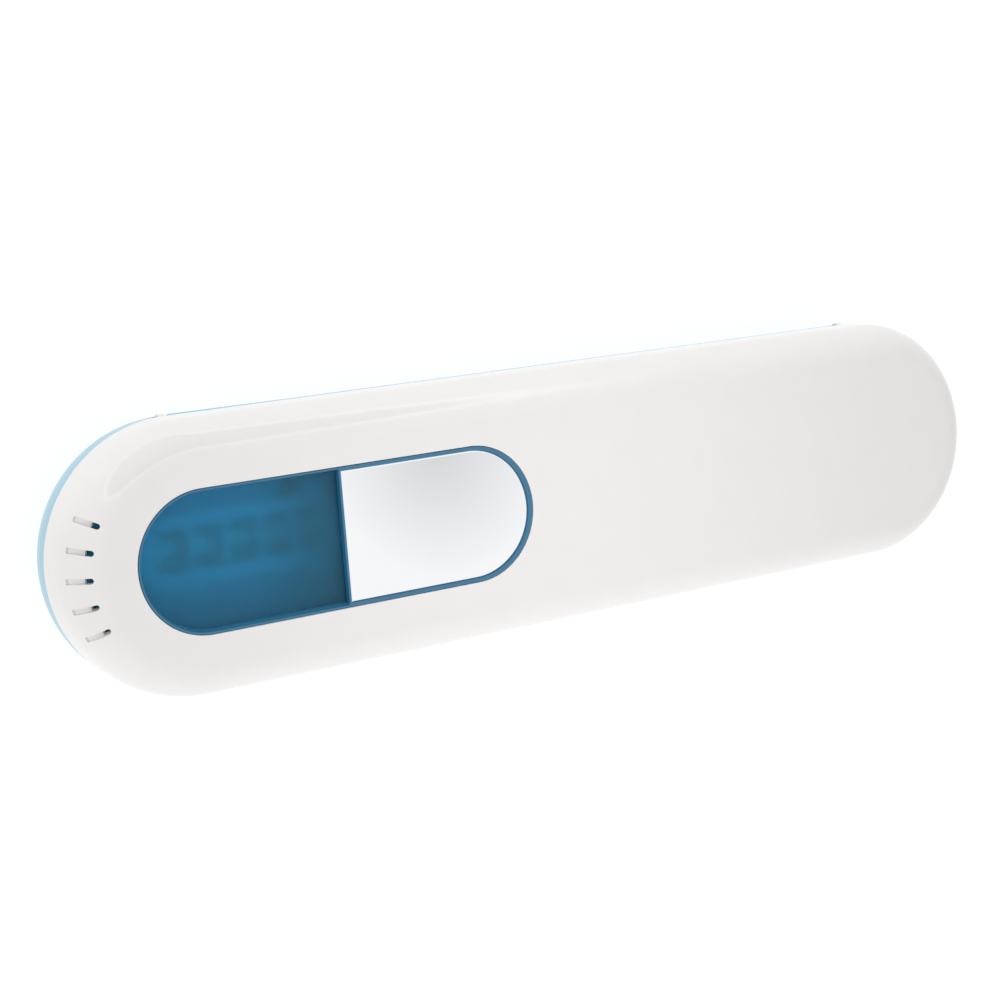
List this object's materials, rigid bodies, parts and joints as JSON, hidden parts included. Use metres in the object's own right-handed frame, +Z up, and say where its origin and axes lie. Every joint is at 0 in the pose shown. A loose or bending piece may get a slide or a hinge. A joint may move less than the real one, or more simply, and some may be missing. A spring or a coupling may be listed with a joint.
{
  "type": "toothbrush sanitizer",
  "caption": "Stadium-shaped hinged travel case that cleans a toothbrush with an ultraviolet lamp, with a tinted window, mirror and vent slots in the lid.",
  "frame": {"origin": "centre of the flat back face that the case lies on", "axes": "+X along the case away from the vented end, +Y across towards the hinge, +Z up through the front face"},
  "size_m": [0.225, 0.0542, 0.028],
  "materials": {
    "white_abs": "gloss",
    "tinted_window": "clear tinted",
    "mirror_glass": "polished",
    "foam_tape": "matte",
    "blue_abs": "gloss",
    "tray_abs": "satin",
    "guard_abs": "satin",
    "steel": "plain",
    "nickel": "plated",
    "aluminium": "polished",
    "quartz": "clear",
    "silicone": "matte",
    "fibreglass": "solder mask",
    "ferrite": "sintered",
    "can_sleeve": "shrink sleeve",
    "epoxy": "moulded",
    "white_acetal": "moulded",
    "cell_sleeve": "sleeved",
    "red_lead": "insulated",
    "black_lead": "insulated",
    "white_lead": "insulated"
  },
  "bodies": {
    "base": {"rear_shell": "blue_abs", "hinge_pin_left": "steel", "hinge_pin_right": "steel", "inner_tray": "tray_abs", "tray_screw_1": "steel", "tray_screw_2": "steel", "tray_screw_3": "steel", "tray_screw_4": "steel", "lamp_guard": "guard_abs", "uv_tube": "quartz", "lamp_cap_left": "nickel", "lamp_cap_right": "nickel", "lamp_holder_left": "silicone", "lamp_holder_right": "silicone", "lamp_reflector": "aluminium", "circuit_board": "fibreglass", "board_screw_1": "steel", "board_screw_2": "steel", "inverter_transformer": "ferrite", "filter_capacitor": "can_sleeve", "timer_chip": "epoxy", "lid_switch": "epoxy", "battery_cradle": "tray_abs", "battery_1": "cell_sleeve", "battery_2": "cell_sleeve", "positive_contact": "nickel", "negative_contact": "nickel", "bridge_contact": "nickel", "battery_spring_1": "steel", "battery_spring_2": "steel", "battery_lead_positive": "red_lead", "battery_lead_negative": "black_lead", "lamp_lead_left": "white_lead", "lamp_lead_right": "white_lead"},
    "lid": {"front_shell": "white_abs", "window_insert": "tinted_window", "mirror": "mirror_glass", "mirror_tape": "foam_tape"},
    "door": {"battery_door": "blue_abs"},
    "plunger": {"switch_plunger": "white_acetal"}
  },
  "joints": [
    {"name": "lid_hinge", "type": "hinge", "parent": "base", "child": "lid", "pos_m": [0, 0.0261, 0.0125], "axis": [-1, 0, 0], "range_deg": [0, 100]},
    {"name": "door_hinge", "type": "hinge", "parent": "base", "child": "door", "pos_m": [0.08255, 0, 0.0002], "axis": [0, -1, 0], "range_deg": [0, 70]},
    {"name": "plunger_slide", "type": "slide", "parent": "base", "child": "plunger", "axis": [0, 0, 1], "range_m": [0, 0.0012]}
  ],
  "couplings": [
    {"joint": "plunger_slide", "follows": "lid_hinge", "m_per_rad": 0.00068}
  ]
}
